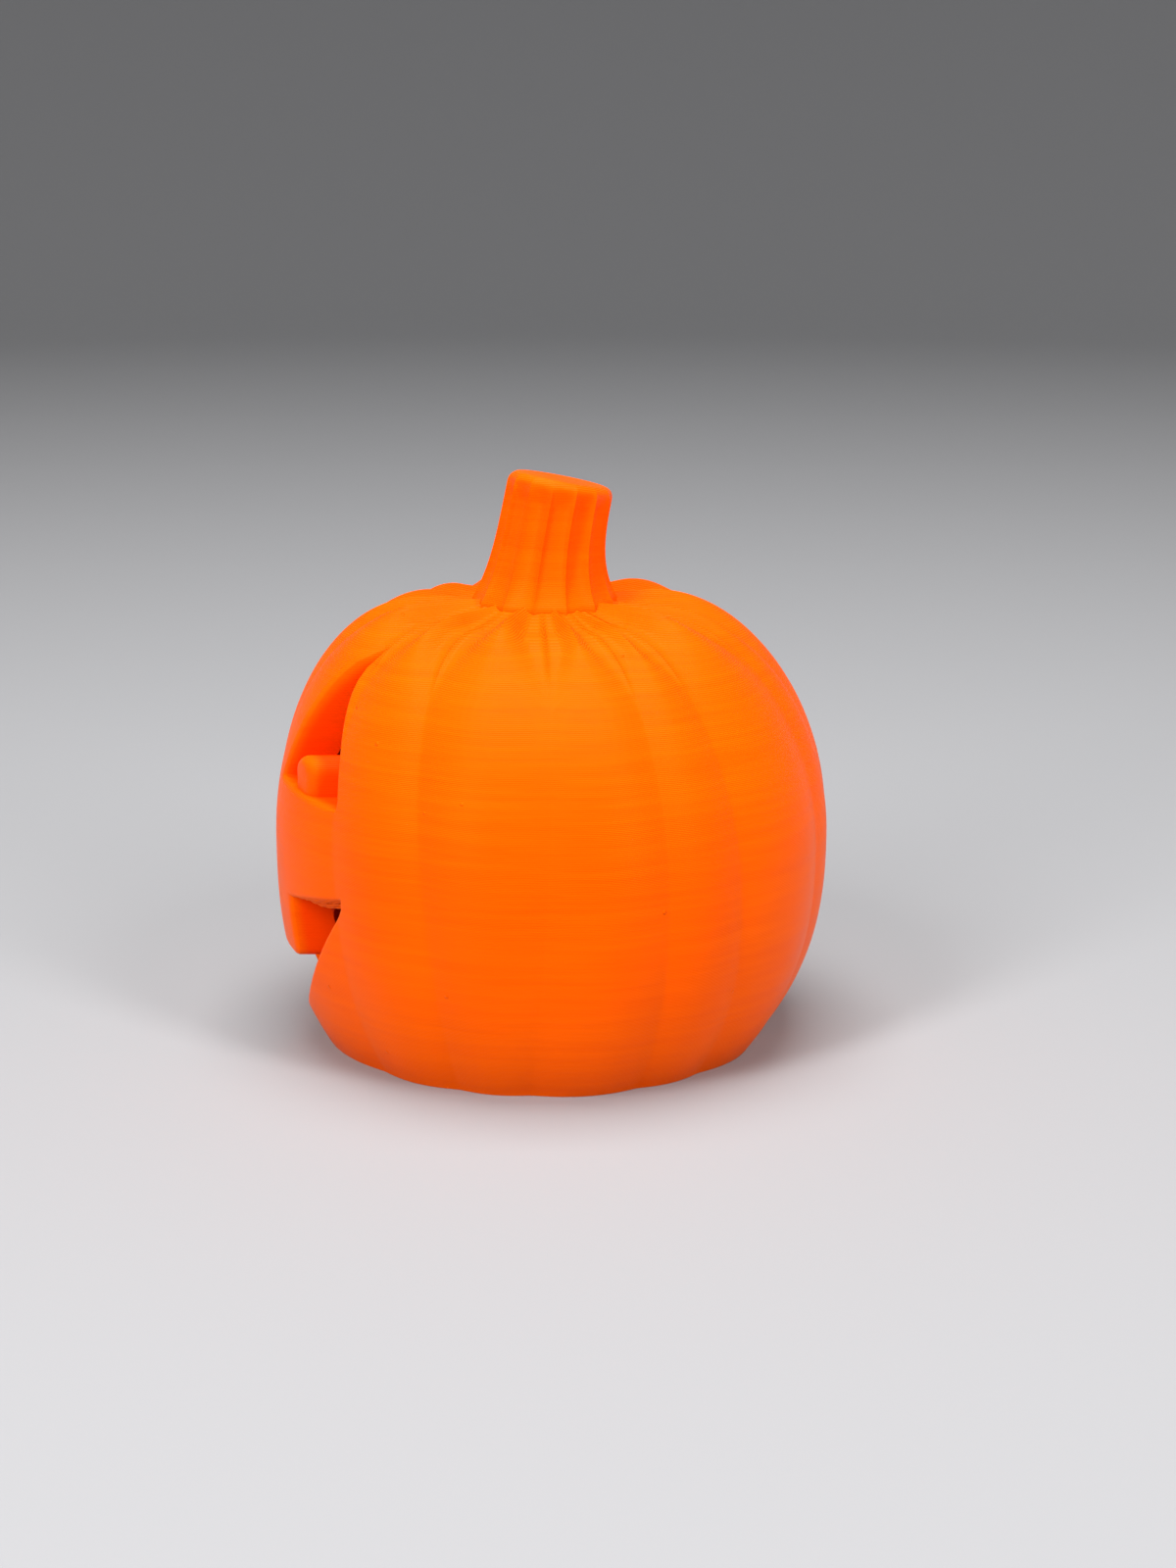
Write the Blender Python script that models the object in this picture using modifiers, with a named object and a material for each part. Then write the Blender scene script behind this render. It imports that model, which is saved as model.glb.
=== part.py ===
"""Carved pumpkin lantern: a small hollow pumpkin of orange plastic, in one piece with its stem.

Metres, +Z up, standing on z = 0 with the face toward -Y. Azimuths are in degrees about the
standing axis, 0 toward +X and 90 toward +Y, so the face looks along azimuth -90.
"""
import bpy
import bmesh
from math import atan2, cos, hypot, pi, radians, sin, sqrt
from mathutils import Matrix, Vector

MM = 0.001

# ---- body: one rib line from the foot, over the belly and the shoulder, to the crown
FOOT_R = 28.2 * MM            # radius of the foot ring
BELLY_R = 35.1 * MM           # widest radius, over the ribs
BELLY_Z = 26.2 * MM           # height of the widest ring
FOOT_TUCK = 2.6               # how late the lower body tucks in (a power)
CROWN_R = 14.0 * MM           # ring of highest points round the stem
CROWN_Z = 55.5 * MM           # height of that ring
SHOULDER_POWER = 1.97         # 2 is a plain ellipse, more is squarer
DIMPLE_R = 6.0 * MM           # flat under the stem
DIMPLE_Z = 55.4 * MM
BELLY_LEAN = 1.0 * MM         # the belly sits this far behind the foot and the stem
CROWN_LEAN = 0.4 * MM         # the crown sits this far forward

# ---- ribs: azimuth of every groove at the crown and at the foot, and how deep a groove is
GROOVES = ((-54.0, -45.0), (-31.0, -21.5), (1.5, -3.0), (22.5, 24.0), (37.5, 43.0),
           (70.0, 71.0), (86.5, 86.5), (117.0, 115.0), (148.0, 146.0), (172.0, 171.0),
           (194.0, 195.0), (214.0, 213.0), (233.0, 232.0), (252.0, 252.0), (272.0, 272.0))
RIB_STEPS = 6                 # faces across one rib
USUAL_RIB = 26.0              # a rib this wide in degrees reaches the full outline
GROOVE_FOOT = 0.65 * MM
GROOVE_BELLY = 0.75 * MM
GROOVE_SHOULDER = 0.85 * MM
GROOVE_CROWN = 1.4 * MM
LOWER_RINGS = 8
UPPER_RINGS = 14

# ---- hollow inside, open at the foot
WALL_FOOT = 4.3 * MM          # over a rib; thinner under a groove
WALL_CROWN = 5.8 * MM
MOUTH_OF_BASE_R = 24.0 * MM   # hole in the foot that a tea light goes through
HOLLOW_STEPS = 44

# ---- stem: fluted, flared at the foot, leaning back, cut square to its own axis
STEM_FOOT_R = 9.0 * MM
STEM_WAIST_R = 6.65 * MM
STEM_TOP_R = 6.55 * MM
STEM_ROOT_Z = 52.6 * MM       # hidden end, inside the crown
STEM_FOOT_Z = 55.2 * MM
STEM_TOP_Z = 69.9 * MM        # on the axis of the stem
STEM_LEAN = 11.0              # degrees at the top, toward +Y
STEM_TOP_CANT = 4.0           # degrees the top cut falls off toward -X
STEM_FOOT_Y = 0.1 * MM
STEM_RIM = 1.3 * MM           # rounding of the top edge
FLUTES = 14
FLUTE_TURN = -8.4             # azimuth of one ridge
FLUTE_DEPTH = 0.55 * MM
FLUTE_STEPS = 4

# ---- eyes: a triangle on its short side, with a round-topped pupil left standing in it
EYE_TOP = (12.3 * MM, 52.1 * MM)       # sideways from the middle, height
EYE_INNER = (9.1 * MM, 34.5 * MM)
EYE_OUTER = (22.3 * MM, 33.4 * MM)
EYE_BOW = (0.6 * MM, 0.9 * MM)         # both upright sides bow outward: inner, outer
EYE_ROUND = 0.6 * MM
EYE_TOP_ROUND = 0.3 * MM
PUPIL_X = 14.9 * MM
PUPIL_R = 2.1 * MM
PUPIL_Z = 36.6 * MM           # centre of its round top
PUPIL_SET_BACK_Z = 37.2 * MM  # the pupil's front is upright below this height
EYE_CUT_Y = -8.0 * MM         # how far in the eyes are cut

# ---- mouth: a deep grin, one tooth hanging from the upper lip and one standing on the lower
LIP_CORNER = (23.5 * MM, 23.3 * MM)
CORNER_DROP = 1.3 * MM        # height of the blunt corner
UPPER_LIP_Z = 18.3 * MM       # upper lip in the middle
LOWER_LIP_Z = 3.8 * MM        # lower lip in the middle
LOWER_LIP_POWER = 2.6         # how late the lower lip rises toward the corners
UPPER_TOOTH = (14.0 * MM, 5.0 * MM)    # far and near side, sideways from the middle
LOWER_TOOTH = (-15.5 * MM, -7.0 * MM)
UPPER_TOOTH_TIP_Z = 13.25 * MM
LOWER_TOOTH_TIP_Z = 11.8 * MM
TOOTH_ROUND = 0.9 * MM
MOUTH_CUT_Y = -14.0 * MM
FACE_FRONT_Y = -42.0 * MM


def clear_scene():
    for obj in list(bpy.data.objects):
        bpy.data.objects.remove(obj, do_unlink=True)


def new_collection(name):
    group = bpy.data.collections.new(name)
    bpy.context.scene.collection.children.link(group)
    return group


def mesh_object(name, bm, group):
    bmesh.ops.recalc_face_normals(bm, faces=bm.faces)
    mesh = bpy.data.meshes.new(name)
    bm.to_mesh(mesh)
    bm.free()
    obj = bpy.data.objects.new(name, mesh)
    group.objects.link(obj)
    return obj


def as_cutter(obj):
    obj.hide_render = True
    obj.display_type = "WIRE"
    return obj


def boolean(target, cutter, operation):
    mod = target.modifiers.new(operation.lower() + "_" + cutter.name, "BOOLEAN")
    mod.operation = operation
    mod.solver = "EXACT"
    mod.object = cutter


# ---------------------------------------------------------------- outline of the body
def rib_outline():
    """(radius, height, groove depth) from the foot up over the crown, along one rib."""
    line = []
    for i in range(LOWER_RINGS):
        z = BELLY_Z * i / LOWER_RINGS
        r = BELLY_R - (BELLY_R - FOOT_R) * (1 - z / BELLY_Z) ** FOOT_TUCK
        depth = GROOVE_FOOT + (GROOVE_BELLY - GROOVE_FOOT) * (z / BELLY_Z) ** 0.6
        line.append((r, z, depth))
    for i in range(UPPER_RINGS + 1):
        turn = 0.5 * pi * i / UPPER_RINGS
        r = CROWN_R + (BELLY_R - CROWN_R) * cos(turn) ** (2 / SHOULDER_POWER)
        z = BELLY_Z + (CROWN_Z - BELLY_Z) * sin(turn) ** (2 / SHOULDER_POWER)
        share = i / UPPER_RINGS
        depth = GROOVE_BELLY + (GROOVE_SHOULDER - GROOVE_BELLY) * min(1, 2 * share)
        depth += (GROOVE_CROWN - GROOVE_SHOULDER) * max(0, 2 * share - 1)
        line.append((r, z, depth))
    for share in (0.35, 0.7, 1.0):
        r = CROWN_R + (DIMPLE_R - CROWN_R) * share
        z = CROWN_Z + (DIMPLE_Z - CROWN_Z) * share ** 2
        line.append((r, z, GROOVE_CROWN * (1 - share)))
    return line


def outline_normals(line):
    """Outward direction of the outline at each of its points, in radius and height."""
    normals = []
    for i in range(len(line)):
        r0, z0, _ = line[max(0, i - 1)]
        r1, z1, _ = line[min(len(line) - 1, i + 1)]
        length = hypot(r1 - r0, z1 - z0)
        normals.append(((z1 - z0) / length, -(r1 - r0) / length))
    normals[0] = (1.0, 0.0)
    return normals


def groove_azimuths(z):
    """Where the grooves are at a height; the last one closes the round."""
    share = min(1.0, max(0.0, z / CROWN_Z))
    turns = [foot + (crown - foot) * share for crown, foot in GROOVES]
    return turns + [turns[0] + 360.0]


def rib_columns(z):
    """(azimuth in radians, share of the groove depth) of every column of the skin at a height."""
    turns = groove_azimuths(z)
    columns = []
    for start, end in zip(turns, turns[1:]):
        width = end - start
        swell = min(1.12, width / USUAL_RIB)
        for k in range(RIB_STEPS):
            u = k / RIB_STEPS
            columns.append((radians(start + width * u), 1 - swell * 4 * u * (1 - u)))
    return columns


def belly_offset(z):
    """How far back (toward +Y) the ring at a height is moved: a slightly lopsided pumpkin."""
    share = min(1.0, max(0.0, z / CROWN_Z))
    return BELLY_LEAN * sin(pi * share ** 0.9) - CROWN_LEAN * share ** 8


def ribbed_skin(group):
    """The ribbed outside as a closed solid: rings of points joined in bands and capped."""
    line = rib_outline()
    normals = outline_normals(line)
    bm = bmesh.new()
    rings = []
    for (r, z, depth), (nr, nz) in zip(line, normals):
        ring = []
        for angle, share in rib_columns(z):
            rr = r - nr * depth * share
            zz = z - nz * depth * share
            ring.append(bm.verts.new((rr * cos(angle), rr * sin(angle) + belly_offset(z), zz)))
        rings.append(ring)
    count = len(rings[0])
    for low, high in zip(rings, rings[1:]):
        for k in range(count):
            n = (k + 1) % count
            bm.faces.new((low[k], low[n], high[n], high[k]))
    bm.faces.new(list(reversed(rings[0])))
    bm.faces.new(rings[-1])
    return mesh_object("pumpkin", bm, group)


# ---------------------------------------------------------------- hollow inside
def hollow(group):
    """The space inside, turned from half an outline with the Screw modifier."""
    line = rib_outline()[:LOWER_RINGS + UPPER_RINGS + 1]
    normals = outline_normals(line)
    inner = []
    for (r, z, _), (nr, nz) in list(zip(line, normals))[2::2]:
        wall = WALL_FOOT + (WALL_CROWN - WALL_FOOT) * z / CROWN_Z
        inner.append((r - nr * wall, z - nz * wall))
    roof_z = CROWN_Z - WALL_CROWN
    inner = [(r, z) for r, z in inner if z < roof_z - 0.2 * MM]
    points = [(0.0, roof_z), (CROWN_R - 2 * MM, roof_z)]
    points += list(reversed(inner))
    points += [(MOUTH_OF_BASE_R, 0.4 * MM), (MOUTH_OF_BASE_R, -2 * MM), (0.0, -2 * MM)]
    bm = bmesh.new()
    verts = [bm.verts.new((r, 0.0, z)) for r, z in points]
    for a, b in zip(verts, verts[1:]):
        bm.edges.new((a, b))
    mesh = bpy.data.meshes.new("hollow")
    bm.to_mesh(mesh)
    bm.free()
    obj = bpy.data.objects.new("hollow", mesh)
    group.objects.link(obj)
    screw = obj.modifiers.new("turn", "SCREW")
    screw.axis = "Z"
    screw.steps = HOLLOW_STEPS
    screw.render_steps = HOLLOW_STEPS
    screw.use_merge_vertices = True
    screw.merge_threshold = 0.00001
    screw.use_normal_calculate = False
    obj.location.y = 0.5 * BELLY_LEAN
    return as_cutter(obj)


# ---------------------------------------------------------------- stem
def stem_rings():
    """(centre y, centre z, lean, radius, flute depth) from the hidden root to the rim."""
    length = STEM_TOP_Z - STEM_FOOT_Z
    lean = radians(STEM_LEAN)
    rings = [(STEM_FOOT_Y, STEM_ROOT_Z, 0.0, STEM_FOOT_R, FLUTE_DEPTH)]
    for share in (0.0, 0.09, 0.2, 0.33, 0.5, 0.68, 0.84, 0.91):
        flare = (STEM_FOOT_R - STEM_WAIST_R) * (1 - share) ** 3.6
        radius = STEM_WAIST_R + flare + (STEM_TOP_R - STEM_WAIST_R) * share
        sweep = lean * length * (share - 0.12 * sin(pi * share)) * 0.76
        fade = min(1.0, (1 - share) / 0.2) * (1 + 0.5 * (1 - share) ** 3)
        rings.append((STEM_FOOT_Y + sweep, STEM_FOOT_Z + length * share,
                      lean * min(1.0, 1.4 * share), radius, FLUTE_DEPTH * fade))
    top_y = STEM_FOOT_Y + lean * length * 0.76
    for turn in (35, 65, 90):
        step_in = STEM_RIM * (1 - cos(radians(turn)))
        drop = STEM_RIM * (1 - sin(radians(turn)))
        rings.append((top_y - drop * sin(lean), STEM_TOP_Z - drop * cos(lean),
                      lean, STEM_TOP_R - step_in, 0.0))
    return rings


def stem(group):
    """A fluted loft: sharp ridges with hollow flutes between them, on a leaning axis."""
    bm = bmesh.new()
    count = FLUTES * FLUTE_STEPS
    rings = []
    for cy, cz, lean, radius, depth in stem_rings():
        cant = radians(STEM_TOP_CANT) * max(0.0, (cz - STEM_FOOT_Z) / (STEM_TOP_Z - STEM_FOOT_Z))
        tilt = Matrix.Rotation(-lean, 4, "X") @ Matrix.Rotation(-cant, 4, "Y")
        ring = []
        for k in range(count):
            angle = radians(FLUTE_TURN) + 2 * pi * k / count
            r = radius - depth * abs(sin(0.5 * FLUTES * (angle - radians(FLUTE_TURN))))
            spot = tilt @ Vector((r * cos(angle), r * sin(angle), 0.0))
            ring.append(bm.verts.new(spot + Vector((0.0, cy, cz))))
        rings.append(ring)
    for low, high in zip(rings, rings[1:]):
        for k in range(count):
            n = (k + 1) % count
            bm.faces.new((low[k], low[n], high[n], high[k]))
    bm.faces.new(list(reversed(rings[0])))
    bm.faces.new(rings[-1])
    return as_cutter(mesh_object("stem", bm, group))


# ---------------------------------------------------------------- carved openings
def arc(cx, cz, radius, start, end, steps):
    """Points on an arc, angles in degrees from +X toward +Z."""
    points = []
    for i in range(steps + 1):
        turn = radians(start + (end - start) * i / steps)
        points.append((cx + radius * cos(turn), cz + radius * sin(turn)))
    return points


def rounded(corner, before, after, radius, steps=4):
    """The points that round one corner of an outline."""
    p = Vector(corner)
    a = (Vector(before) - p).normalized()
    b = (Vector(after) - p).normalized()
    half = 0.5 * a.angle(b)
    middle = p + (a + b).normalized() * (radius / sin(half))
    start = p + a * (radius * cos(half) / sin(half))
    end = p + b * (radius * cos(half) / sin(half))
    t0 = atan2(start.y - middle.y, start.x - middle.x)
    t1 = atan2(end.y - middle.y, end.x - middle.x)
    while t1 - t0 > pi:
        t1 -= 2 * pi
    while t0 - t1 > pi:
        t1 += 2 * pi
    points = []
    for i in range(steps + 1):
        t = t0 + (t1 - t0) * i / steps
        points.append((middle.x + radius * cos(t), middle.y + radius * sin(t)))
    return points


def eye_floor(x):
    share = (x - EYE_INNER[0]) / (EYE_OUTER[0] - EYE_INNER[0])
    return EYE_INNER[1] + (EYE_OUTER[1] - EYE_INNER[1]) * share


def bowed(start, end, bow, steps=6):
    """Points along a side of the eye that bows sideways by a small amount, ends left out."""
    points = []
    for i in range(1, steps):
        u = i / steps
        x = start[0] + (end[0] - start[0]) * u + bow * 4 * u * (1 - u)
        points.append((x, start[1] + (end[1] - start[1]) * u))
    return points


def eye_outline():
    """The eye seen from the front: a triangle with the pupil's tab left out of it."""
    left = PUPIL_X - PUPIL_R
    right = PUPIL_X + PUPIL_R
    points = rounded(EYE_TOP, EYE_OUTER, EYE_INNER, EYE_TOP_ROUND)
    points += bowed(EYE_TOP, EYE_INNER, EYE_BOW[0])
    points += rounded(EYE_INNER, EYE_TOP, EYE_OUTER, 0.5 * EYE_ROUND)
    points.append((left, eye_floor(left)))
    points += arc(PUPIL_X, PUPIL_Z, PUPIL_R, 180, 0, 8)
    points.append((right, eye_floor(right)))
    points += rounded(EYE_OUTER, EYE_INNER, EYE_TOP, EYE_ROUND)
    points += bowed(EYE_OUTER, EYE_TOP, EYE_BOW[1])
    return points


def upper_lip(x):
    return UPPER_LIP_Z + (LIP_CORNER[1] - UPPER_LIP_Z) * abs(x / LIP_CORNER[0]) ** 1.25


def lower_lip(x):
    corner_z = LIP_CORNER[1] - CORNER_DROP
    return LOWER_LIP_Z + (corner_z - LOWER_LIP_Z) * abs(x / LIP_CORNER[0]) ** LOWER_LIP_POWER


def lip_line(lip, start, end, steps):
    """Points along a lip, both ends left out."""
    points = []
    for i in range(1, steps):
        x = start + (end - start) * i / steps
        points.append((x, lip(x)))
    return points


def tooth(lip, first, last, tip_z):
    """One tooth: from the lip to its square tip and back, with rounded corners."""
    a = (first, lip(first))
    b = (first, tip_z)
    c = (last, tip_z)
    d = (last, lip(last))
    return [a] + rounded(b, a, c, TOOTH_ROUND) + rounded(c, b, d, TOOTH_ROUND) + [d]


def mouth_outline():
    """The mouth seen from the front, its two teeth left out of it."""
    side, high = LIP_CORNER
    points = [(side, high)]
    points += lip_line(upper_lip, side, UPPER_TOOTH[0], 5)
    points += tooth(upper_lip, UPPER_TOOTH[0], UPPER_TOOTH[1], UPPER_TOOTH_TIP_Z)
    points += lip_line(upper_lip, UPPER_TOOTH[1], -side, 9)
    points += [(-side, high), (-side, high - CORNER_DROP)]
    points += lip_line(lower_lip, -side, LOWER_TOOTH[0], 6)
    points += tooth(lower_lip, LOWER_TOOTH[0], LOWER_TOOTH[1], LOWER_TOOTH_TIP_Z)
    points += lip_line(lower_lip, LOWER_TOOTH[1], side, 15)
    points.append((side, high - CORNER_DROP))
    return points


def face_cutter(name, outline, back_y, group):
    """An outline drawn on the front plane and pushed through the wall of the face."""
    bm = bmesh.new()
    front = [bm.verts.new((x, FACE_FRONT_Y, z)) for x, z in outline]
    back = [bm.verts.new((x, back_y, z)) for x, z in outline]
    count = len(outline)
    bm.faces.new(front)
    bm.faces.new(list(reversed(back)))
    for k in range(count):
        n = (k + 1) % count
        bm.faces.new((front[n], front[k], back[k], back[n]))
    return as_cutter(mesh_object(name, bm, group))


def pupil_trim(name, side, group):
    """A block that takes the slope off the front of a pupil, so it stands upright."""
    reach = hypot(PUPIL_X, surface_front(PUPIL_X, PUPIL_SET_BACK_Z))
    azimuth = atan2(surface_front(PUPIL_X, PUPIL_SET_BACK_Z), side * PUPIL_X)
    floor_z = eye_floor(PUPIL_X) + 0.15 * MM
    depth = 6 * MM
    height = PUPIL_SET_BACK_Z - floor_z
    bm = bmesh.new()
    bmesh.ops.create_cube(bm, size=1.0)
    bmesh.ops.scale(bm, vec=(depth, 2.3 * PUPIL_R, height), verts=bm.verts)
    bmesh.ops.translate(bm, vec=(reach + 0.5 * depth, 0.0, floor_z + 0.5 * height), verts=bm.verts)
    bmesh.ops.rotate(bm, cent=(0, 0, 0), matrix=Matrix.Rotation(azimuth, 3, "Z"), verts=bm.verts)
    return as_cutter(mesh_object(name, bm, group))


def surface_front(x, z):
    """How far forward (toward -Y) the smooth outside is at a sideways place and height."""
    rise = (z - BELLY_Z) / (CROWN_Z - BELLY_Z)
    share = (1 - rise ** SHOULDER_POWER) ** (1 / SHOULDER_POWER)
    r = CROWN_R + (BELLY_R - CROWN_R) * share
    return -sqrt(r * r - x * x) + belly_offset(z)


# ---------------------------------------------------------------- material and assembly
def orange_plastic():
    mat = bpy.data.materials.new("orange plastic")
    mat.use_nodes = True
    shader = mat.node_tree.nodes["Principled BSDF"]
    shader.inputs["Base Color"].default_value = (1.0, 0.15, 0.003, 1.0)
    shader.inputs["Roughness"].default_value = 0.42
    return mat


def settle(obj):
    """Bake the modifiers and set the solid with its box centred on the origin."""
    graph = bpy.context.evaluated_depsgraph_get()
    mesh = bpy.data.meshes.new_from_object(obj.evaluated_get(graph))
    obj.modifiers.clear()
    obj.data = mesh
    xs = [v.co.x for v in mesh.vertices]
    ys = [v.co.y for v in mesh.vertices]
    shift = Vector((-0.5 * (min(xs) + max(xs)), -0.5 * (min(ys) + max(ys)), 0.0))
    mesh.transform(Matrix.Translation(shift))
    return shift


def build():
    clear_scene()
    lantern = new_collection("carved pumpkin lantern")
    cutters = new_collection("cutters")
    pumpkin = ribbed_skin(lantern)
    pumpkin.data.materials.append(orange_plastic())
    boolean(pumpkin, stem(cutters), "UNION")
    boolean(pumpkin, hollow(cutters), "DIFFERENCE")
    right = eye_outline()
    left = [(-x, z) for x, z in reversed(right)]
    boolean(pumpkin, face_cutter("eye_right", right, EYE_CUT_Y, cutters), "DIFFERENCE")
    boolean(pumpkin, face_cutter("eye_left", left, EYE_CUT_Y, cutters), "DIFFERENCE")
    boolean(pumpkin, face_cutter("mouth", mouth_outline(), MOUTH_CUT_Y, cutters), "DIFFERENCE")
    boolean(pumpkin, pupil_trim("pupil_trim_right", 1, cutters), "DIFFERENCE")
    boolean(pumpkin, pupil_trim("pupil_trim_left", -1, cutters), "DIFFERENCE")
    bpy.context.view_layer.update()
    shift = settle(pumpkin)
    print("moved onto the origin by", [round(v / MM, 3) for v in shift], "mm")


build()
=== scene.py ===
# %% [markdown]
# # A small pumpkin lantern in printed orange plastic
#
# The lantern is a toy copy of a carved pumpkin, no taller than an egg cup. It was printed in one
# go from a thread of molten plastic, laid down in level layers a fifth of a millimetre thick. The
# body has uneven ribs, the stem is fluted, and the eyes and the grin are cut through the wall so
# that a tea light inside can shine out.
#
# The measured model comes first and stays where it is. Everything made below has to fit its box.

# %% Load the measured model
import bpy
import bmesh
from math import atan2, cos, hypot, pi, radians, sin, sqrt
from mathutils import Matrix, Vector
from mathutils.bvhtree import BVHTree


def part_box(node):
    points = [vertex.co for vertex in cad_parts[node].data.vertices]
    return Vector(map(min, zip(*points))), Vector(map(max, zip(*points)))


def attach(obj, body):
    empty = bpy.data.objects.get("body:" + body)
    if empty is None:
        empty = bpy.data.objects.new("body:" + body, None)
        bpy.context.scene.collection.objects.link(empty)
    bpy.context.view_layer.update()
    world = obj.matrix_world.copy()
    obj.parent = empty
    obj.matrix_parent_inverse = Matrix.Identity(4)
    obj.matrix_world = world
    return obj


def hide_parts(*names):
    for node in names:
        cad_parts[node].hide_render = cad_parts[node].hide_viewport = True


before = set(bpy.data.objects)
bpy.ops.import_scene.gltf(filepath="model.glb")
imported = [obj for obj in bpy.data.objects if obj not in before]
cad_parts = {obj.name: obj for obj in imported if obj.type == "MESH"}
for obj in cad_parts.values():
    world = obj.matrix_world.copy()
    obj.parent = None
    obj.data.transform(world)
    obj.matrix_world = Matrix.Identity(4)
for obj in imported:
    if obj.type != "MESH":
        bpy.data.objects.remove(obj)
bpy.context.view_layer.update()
MM = 0.001

# %% [markdown]
# ## The line of one rib
#
# A ribbed body is one side line carried round the standing axis. The line leaves the foot, swells
# to the belly, comes in over the shoulder and ends in the flat crown under the stem. The lower
# half is a power curve, and the shoulder is a superellipse, because a round arc would look too
# pointed. Next to each point stands how deep the groove between two ribs is there.

# %% The side line
FOOT_R = 28.2 * MM
BELLY_R = 35.1 * MM
BELLY_Z = 26.2 * MM
FOOT_TUCK = 2.6
CROWN_R = 14.0 * MM
CROWN_Z = 55.5 * MM
SHOULDER_POWER = 1.97
DIMPLE_R = 6.0 * MM
DIMPLE_Z = 55.5 * MM
GROOVE_DEPTHS = (0.65 * MM, 0.75 * MM, 0.85 * MM, 1.9 * MM)   # foot, belly, shoulder, crown


def mix(a, b, share):
    return a + (b - a) * share


def rib_outline(lower, upper, middle):
    """(radius, height, groove depth) from the foot up over the crown, along one rib."""
    foot, belly, shoulder, crown = GROOVE_DEPTHS
    line = []
    for i in range(lower):
        share = i / lower
        r = BELLY_R - (BELLY_R - FOOT_R) * (1 - share) ** FOOT_TUCK
        line.append((r, BELLY_Z * share, mix(foot, belly, share ** 0.6)))
    for i in range(upper + 1):
        share = i / upper
        turn = 0.5 * pi * share
        r = CROWN_R + (BELLY_R - CROWN_R) * abs(cos(turn)) ** (2 / SHOULDER_POWER)
        z = BELLY_Z + (CROWN_Z - BELLY_Z) * sin(turn) ** (2 / SHOULDER_POWER)
        depth = mix(belly, shoulder, min(1, 2 * share)) + (crown - shoulder) * max(0, 2 * share - 1)
        line.append((r, z, depth))
    for i in range(1, middle + 1):
        share = i / middle
        r = mix(CROWN_R, DIMPLE_R, share)
        z = mix(CROWN_Z, DIMPLE_Z, share ** 2)
        line.append((r, z, crown * (1 - share) ** 0.8))
    return line


def outline_normals(line):
    """Outward direction of the line at each of its points, in radius and height."""
    normals = []
    for i in range(len(line)):
        r0, z0, _ = line[max(0, i - 1)]
        r1, z1, _ = line[min(len(line) - 1, i + 1)]
        length = hypot(r1 - r0, z1 - z0)
        normals.append(((z1 - z0) / length, -(r1 - r0) / length))
    normals[0] = (1.0, 0.0)
    return normals


line = rib_outline(64, 92, 14)
print("side line:", len(line), "points, widest", round(max(r for r, _, _ in line) / MM, 1), "mm")

# %% [markdown]
# ## Ribs and grooves
#
# Real pumpkins have ribs of unequal width, and so has this one. Each groove has an azimuth at the
# crown and another at the foot, and drifts between them. Between two grooves the rib swells as a
# parabola. The points sit closer together near a groove, so its bottom can be rounded a little,
# and near the crown a groove opens into a flat valley with a thin ridge left in its middle.

# %% Where the grooves run
GROOVES = ((-54.0, -45.0), (-31.0, -21.5), (1.5, -3.0), (22.5, 24.0), (37.5, 43.0),
           (70.0, 71.0), (86.5, 86.5), (117.0, 115.0), (148.0, 146.0), (172.0, 171.0),
           (194.0, 195.0), (214.0, 213.0), (233.0, 232.0), (252.0, 252.0), (272.0, 272.0))
USUAL_RIB = 26.0              # degrees; a rib this wide reaches the full side line
COLUMNS = 18                  # points across one rib
GROOVE_SOFT = 0.45 * MM       # rounding of a groove's bottom
VALLEY_HALF = 2.6 * MM        # half width of the crown's valleys
VALLEY_FOOT_Z = 48.0 * MM     # where a valley has closed to a plain groove
BELLY_LEAN = 1.0 * MM
CROWN_LEAN = 0.4 * MM


def height_share(z):
    return min(1.0, max(0.0, z / CROWN_Z))


def groove_azimuths(z):
    turns = [mix(foot, crown, height_share(z)) for crown, foot in GROOVES]
    return turns + [turns[0] + 360.0]


def valley_half(z):
    opening = max(0.0, (z - VALLEY_FOOT_Z) / (CROWN_Z - VALLEY_FOOT_Z))
    return VALLEY_HALF * opening ** 1.3


def groove_share(u, width_mm, z):
    """Share of the groove depth taken off at a place across a rib, 0 on a usual rib's crest."""
    swell = min(1.12, width_mm[1] / USUAL_RIB)
    reach = min(u, 1 - u) * width_mm[0]
    valley = min(valley_half(z), 0.27 * width_mm[0])
    past = max(0.0, reach - valley)
    past = sqrt(past ** 2 + GROOVE_SOFT ** 2) - GROOVE_SOFT
    v = min(0.5, past / max(1e-9, width_mm[0] - 2 * valley))
    ridge = 0.22 * max(0.0, 1 - reach / (0.4 * MM)) * min(1.0, valley / VALLEY_HALF * 2)
    return 1 - swell * 4 * v * (1 - v) - ridge


def rib_columns(z, r):
    """(azimuth in radians, share of the groove depth) of every column at one height."""
    turns = groove_azimuths(z)
    columns = []
    for start, end in zip(turns, turns[1:]):
        width = (radians(end - start) * r, end - start)
        for k in range(COLUMNS):
            u = 0.5 - 0.5 * cos(pi * k / COLUMNS)
            columns.append((radians(start + (end - start) * u), groove_share(u, width, z)))
    return columns


def belly_offset(z):
    """How far back the ring at a height sits: the lantern is slightly lopsided."""
    share = height_share(z)
    return BELLY_LEAN * sin(pi * share ** 0.9) - CROWN_LEAN * share ** 8


narrowest = min(b[0] - a[0] for a, b in zip(GROOVES, GROOVES[1:]))
print("ribs:", len(GROOVES), "- narrowest", narrowest, "degrees")

# %% [markdown]
# ## The ribbed skin
#
# No single Blender tool turns a side line whose depth changes with azimuth, so the rings of points
# are made here and joined in bands. It is closed at both ends, because the Booleans that come next
# need a solid with an inside and an outside.

# %% Loft the skin


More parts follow.
